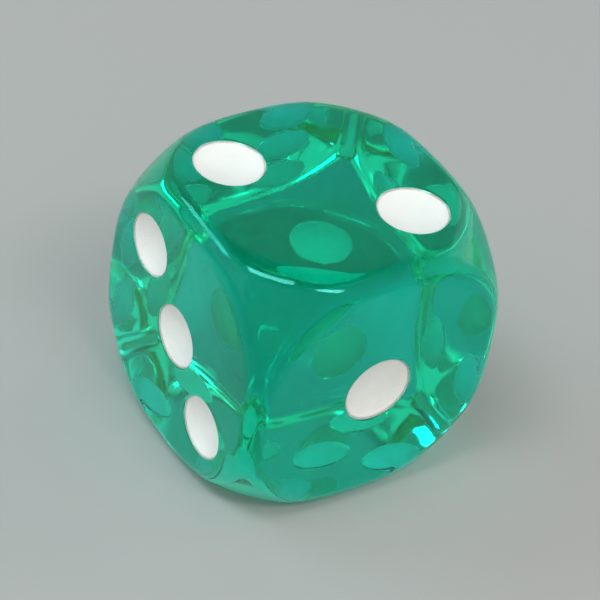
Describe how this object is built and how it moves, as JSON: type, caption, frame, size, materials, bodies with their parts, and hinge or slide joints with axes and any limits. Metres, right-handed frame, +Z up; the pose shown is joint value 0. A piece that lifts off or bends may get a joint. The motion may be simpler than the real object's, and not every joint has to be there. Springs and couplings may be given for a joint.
{
  "type": "playing die",
  "caption": "Round-cornered playing die of clear green plastic with dished, white-painted spots, thrown and read by its upper face.",
  "frame": {"origin": "middle of the lower face, the five, on the plane it rests on", "axes": "+Z up through the two, -Y out of the one, -X out of the three, +X out of the four, +Y out of the six"},
  "size_m": [0.016, 0.016, 0.016],
  "materials": {
    "green_plastic": "polished clear moulding",
    "white_paint": "gloss paint"
  },
  "bodies": {
    "root": {"body": "green_plastic", "pip_one": "white_paint", "pip_two_1": "white_paint", "pip_two_2": "white_paint", "pip_three_1": "white_paint", "pip_three_2": "white_paint", "pip_three_3": "white_paint", "pip_four_1": "white_paint", "pip_four_2": "white_paint", "pip_four_3": "white_paint", "pip_four_4": "white_paint", "pip_five_1": "white_paint", "pip_five_2": "white_paint", "pip_five_3": "white_paint", "pip_five_4": "white_paint", "pip_five_5": "white_paint", "pip_six_1": "white_paint", "pip_six_2": "white_paint", "pip_six_3": "white_paint", "pip_six_4": "white_paint", "pip_six_5": "white_paint", "pip_six_6": "white_paint"}
  },
  "joints": []
}
